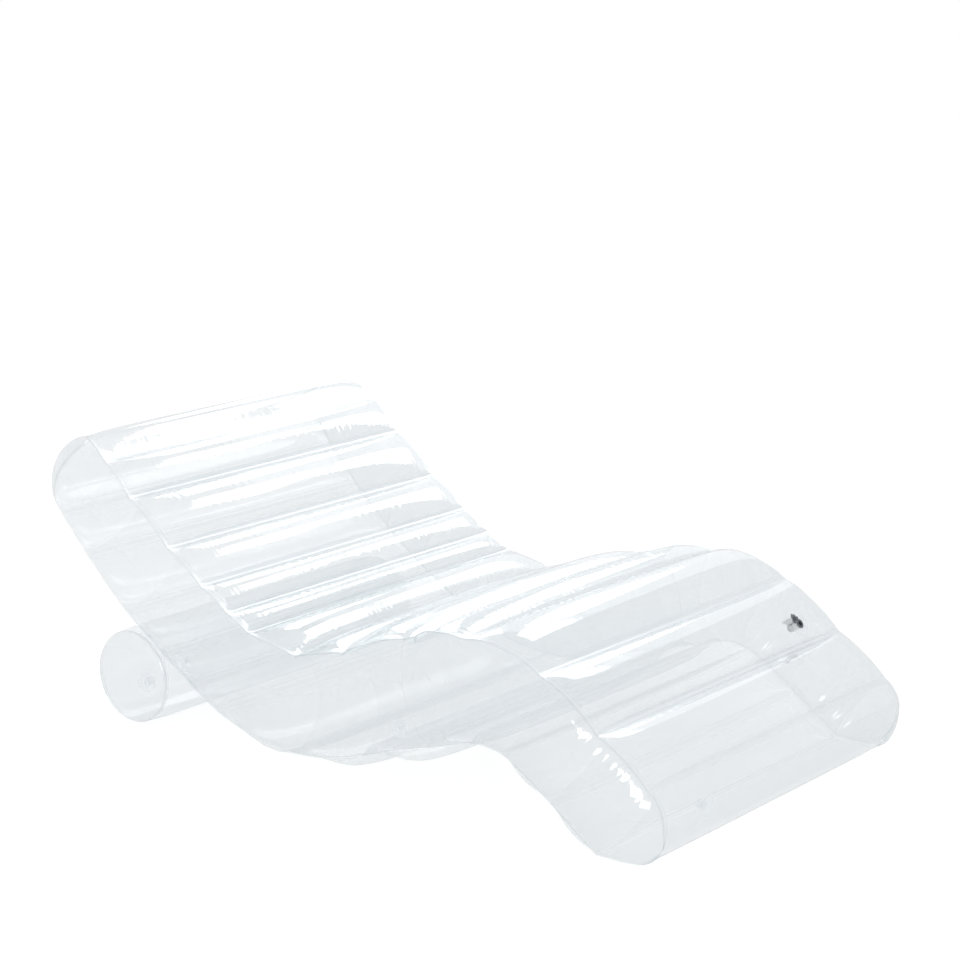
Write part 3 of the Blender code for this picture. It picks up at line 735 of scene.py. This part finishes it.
# Rings of the given radii and places along the roll; strength is how much each one puckers
def rollSurface(radius, place, seed, strength):
    around = np.linspace(0, 2 * math.pi, roll["around"], endpoint=False)[None, :]
    chance = np.random.default_rng(seed)
    wave = sum(1 - 2 * np.abs(np.sin(count * around / 2 + chance.uniform(0, 3)))
               for count in roll["puckerCounts"]) / 2
    uneven = roll["uneven"] * np.sin(3 * around + chance.uniform(0, 6))
    wave = wave * (1 - roll["uneven"] + uneven)
    radius = radius[:, None] + roll["puckers"] * strength[:, None] * wave
    x = rollX + radius * np.sin(around)
    z = rollZ + radius * np.cos(around)
    y = place[:, None] + 0 * around
    uv = np.stack([np.broadcast_to(around * roll["radius"], x.shape), y], -1)
    return np.stack([x, y, np.maximum(z, 0.0)], -1), uv


def gathers(distance, fadeOver, start):
    return np.exp(-distance / fadeOver) * np.clip(distance / start, 0, 1)


# Draws the small ring round a cap's middle into one point
def closePole(piece, centre, reach):
    shape = bmesh.new()
    shape.from_mesh(piece.data)
    ring = [vertex for vertex in shape.verts if (vertex.co - Vector(centre)).length < reach]
    bmesh.ops.pointmerge(shape, verts=ring, merge_co=centre)
    shape.to_mesh(piece.data)
    shape.free()


neckRadius = roll["radius"] - roll["neck"]
tubeHalf = roll["halfLength"] - weldGap
endRun, middleRun = roll["endRun"], roll["middleRun"]
along = np.concatenate([np.linspace(-tubeHalf, -tubeHalf + endRun, roll["endRows"]),
                        np.linspace(-middleRun, middleRun, roll["middleRows"]),
                        np.linspace(tubeHalf - endRun, tubeHalf, roll["endRows"])])
fromEnd = tubeHalf - np.abs(along)
rise = np.clip(fromEnd / roll["neckRun"], 0, 1)
points, uv = rollSurface(neckRadius + roll["neck"] * np.sin(rise * math.pi / 2), along,
                         roll["tubeSeed"], gathers(fromEnd, roll["tubeFade"], roll["tubeStart"]))
tube = meshPiece("roll_tube_film", points, rollPaintedLightFilm, closedAround=True, flip=True,
                 layers=rimLayers(fromEnd[:, None], fade["rollSlack"]), uv=uv)
onMattress(tube, "roll_tube")
stretchedSheet(tube, 2 * roll["halfLength"])
for hand, handName in ((-1, "left"), (1, "right")):
    out = np.sin(np.linspace(math.pi / 2, 0.0, roll["capRows"]))
    out[-1] = roll["pole"]
    crown = roll["capCrown"] * np.sqrt(np.maximum(1 - out ** roll["capPower"], 0))
    place = hand * (roll["halfLength"] + skin + crown)
    fromRim = (1 - out) * neckRadius
    points, uv = rollSurface(neckRadius * out, place, roll["capSeed"] + hand,
                             gathers(fromRim, roll["capFade"], roll["capStart"]))
    cut = None
    if hand < 0:
        points, uv, cut = fitValve(points, uv, "roll_valve", closedAround=True)
    cap = meshPiece(f"roll_{handName}_cap_film", points, wallFilm, closedAround=True,
                    flip=hand < 0, layers=rimLayers(fromRim[:, None], fade["rollSlack"]), uv=uv,
                    cut=cut)
    closePole(cap, (rollX, place[-1], rollZ), 2 * out[-1] * neckRadius)
    onMattress(cap, f"roll_{handName}_cap")
    stretchedSheet(cap, 2 * neckRadius)
print("roll made")

# Fittings: moulded valves and the roll's weld strip, with a fine grain
clearLook = dict(colour=(0.93, 0.95, 0.96, 1), tint=(0.985, 0.99, 0.993, 1), cover=0.12,
                 turned=0.36, blend=0.4, roughness=0.18, grainRoughness=0.1, grainScale=900.0,
                 grainDetail=2.0, grainStrength=0.15, grainDepth=0.0004, ior=1.5)
darkLook = dict(colour=(0.075, 0.085, 0.10, 1), paler=1.35, roughness=0.32, grainRoughness=0.1,
                grainScale=700.0, grainDetail=3.0, grainStrength=0.2, grainDepth=0.0004, ior=1.5)
darkNodes = ("leg_valve_stem", "leg_valve_cap")


def mouldedGrain(graph, look):
    place = graph.add("ShaderNodeTexCoord", {}, output="Object")
    grain = graph.add("ShaderNodeTexNoise", {},
                      {"Vector": place, "Scale": look["grainScale"], "Detail": look["grainDetail"]})
    bump = graph.add("ShaderNodeBump", {},
                     {"Strength": look["grainStrength"], "Distance": look["grainDepth"],
                      "Height": grain})
    return grain, bump


def mouldedBody(graph, look, colour, grain, bump):
    return graph.add("ShaderNodeBsdfPrincipled", {},
                     {"Base Color": colour, "IOR": look["ior"], "Normal": bump,
                      "Roughness": look["roughness"] + look["grainRoughness"] * grain})


def makeClearFitting(look):
    material, graph = newMaterial("clearFitting")
    facing = graph.add("ShaderNodeLayerWeight", {}, {"Blend": look["blend"]}, output="Facing")
    cover = (look["cover"] + look["turned"] * facing) * lighterShadow(graph)
    body = mouldedBody(graph, look, look["colour"], *mouldedGrain(graph, look))
    through = graph.add("ShaderNodeBsdfTransparent", {}, {"Color": look["tint"]})
    mixed = graph.add("ShaderNodeMixShader", {}, {0: cover, 1: through, 2: body})
    graph.add("ShaderNodeOutputMaterial", {}, {"Surface": mixed})
    return material


def makeDarkFitting(look):
    material, graph = newMaterial("darkFitting")
    grain, bump = mouldedGrain(graph, look)
    pale = tuple(look["paler"] * c for c in look["colour"][:3]) + (1,)
    colour = graph.add("ShaderNodeMix", {"data_type": "RGBA"},
                       {0: grain, 6: look["colour"], 7: pale}, output=2)
    body = mouldedBody(graph, look, colour, grain, bump)
    graph.add("ShaderNodeOutputMaterial", {}, {"Surface": body})
    return material


clearFitting, darkFitting = makeClearFitting(clearLook), makeDarkFitting(darkLook)
for name, node in frame["nodes"].items():
    if "valve" in name or name == "roll_weld_strip":
        node.data.materials.clear()
        node.data.materials.append(darkFitting if name in darkNodes else clearFitting)
print("fittings dressed")

# Floor, world and lamps; the softboxes light nothing but gloss
studio = dict(ambient=1.0, reflected=0.92, floorColour=(0.86, 0.86, 0.86, 1), floorRadius=9.0,
              floorDrop=0.0006, floorLift=0.24, clearLayers=64, bounces=10)
softboxes = dict(
    highSoftbox=dict(location=(-0.12, 1.10, 1.78), aim=(-0.12, 0.10, 1.78), size=(0.70, 0.65),
                     radiance=2.4),
    lowSoftbox=dict(location=(-0.32, 1.10, 1.07), aim=(-0.32, 0.10, 1.07), size=(0.48, 0.56),
                    radiance=2.4),
    frontSoftbox=dict(location=(1.36, -2.0, 1.15), aim=(1.00, -0.45, 0.10), size=(0.72, 0.50),
                      radiance=2.4),
    sideSoftbox=dict(location=(-1.32, 1.10, 1.45), aim=(-1.32, 0.10, 1.45), size=(0.62, 1.05),
                     radiance=2.4),
    fillPanel=dict(location=(-0.95, 1.60, 1.35), aim=(-0.95, 0.60, 1.35), size=(2.1, 1.7),
                   radiance=0.28))
keyLamp = dict(location=(-1.5, -2.5, 4.5), aim=(0, 0, 0.2), size=(3.0, 3.0), power=20)


def seenRays(graph):
    path = graph.add("ShaderNodeLightPath")
    seen = path.maths("MAXIMUM", graph.also(path, "Is Camera Ray"),
                      graph.also(path, "Is Transmission Ray"))
    return seen, graph.also(path, "Is Glossy Ray")


def makeStage():
    corner, level = studio["floorRadius"], -studio["floorDrop"]
    mesh = bpy.data.meshes.new("floor")
    mesh.from_pydata([(-corner, -corner, level), (corner, -corner, level),
                      (corner, corner, level), (-corner, corner, level)], [], [(0, 1, 2, 3)])
    floor = bpy.data.objects.new("floor", mesh)
    scene.collection.objects.link(floor)
    material, graph = newMaterial("floorWhite")
    seen, _ = seenRays(graph)
    paper = graph.add("ShaderNodeBsdfDiffuse", {}, {"Color": studio["floorColour"]})
    glow = graph.add("ShaderNodeEmission", {},
                     {"Color": (1, 1, 1, 1), "Strength": seen * studio["floorLift"]})
    both = graph.add("ShaderNodeAddShader", {}, {0: paper, 1: glow})
    graph.add("ShaderNodeOutputMaterial", {}, {"Surface": both})
    mesh.materials.append(material)


def makeWorld():
    world = bpy.data.worlds.new("studio")
    world.use_nodes = True
    scene.world = world
    graph = Graph(world.node_tree)
    seen, glossy = seenRays(graph)
    soft, dull, white = [graph.add("ShaderNodeBackground", {},
                                   {"Color": (1, 1, 1, 1), "Strength": strength})
                         for strength in (studio["ambient"], studio["reflected"], 1.0)]
    mixed = graph.add("ShaderNodeMixShader", {}, {0: glossy, 1: soft, 2: dull})
    mixed = graph.add("ShaderNodeMixShader", {}, {0: seen, 1: mixed, 2: white})
    graph.add("ShaderNodeOutputWorld", {}, {"Surface": mixed})


def addLamp(name, location, aim, size, power, inGloss):
    data = bpy.data.lights.new(name, "AREA")
    data.shape = "RECTANGLE"
    data.size, data.size_y = size
    data.energy = power
    lamp = bpy.data.objects.new(name, data)
    scene.collection.objects.link(lamp)
    lamp.location = location
    lamp.rotation_euler = (Vector(location) - Vector(aim)).to_track_quat("Z", "Y").to_euler()
    lamp.visible_camera = False
    lamp.visible_diffuse = not inGloss
    lamp.visible_glossy = inGloss


makeStage()
makeWorld()
for name, box in softboxes.items():
    power = box["radiance"] * math.pi * box["size"][0] * box["size"][1]
    addLamp(name, box["location"], box["aim"], box["size"], power, inGloss=True)
addLamp("key", keyLamp["location"], keyLamp["aim"], keyLamp["size"], keyLamp["power"],
        inGloss=False)
scene.view_settings.view_transform = "Standard"
scene.cycles.transparent_max_bounces = studio["clearLayers"]
scene.cycles.max_bounces = studio["bounces"]
print("stage, world and lamps made")
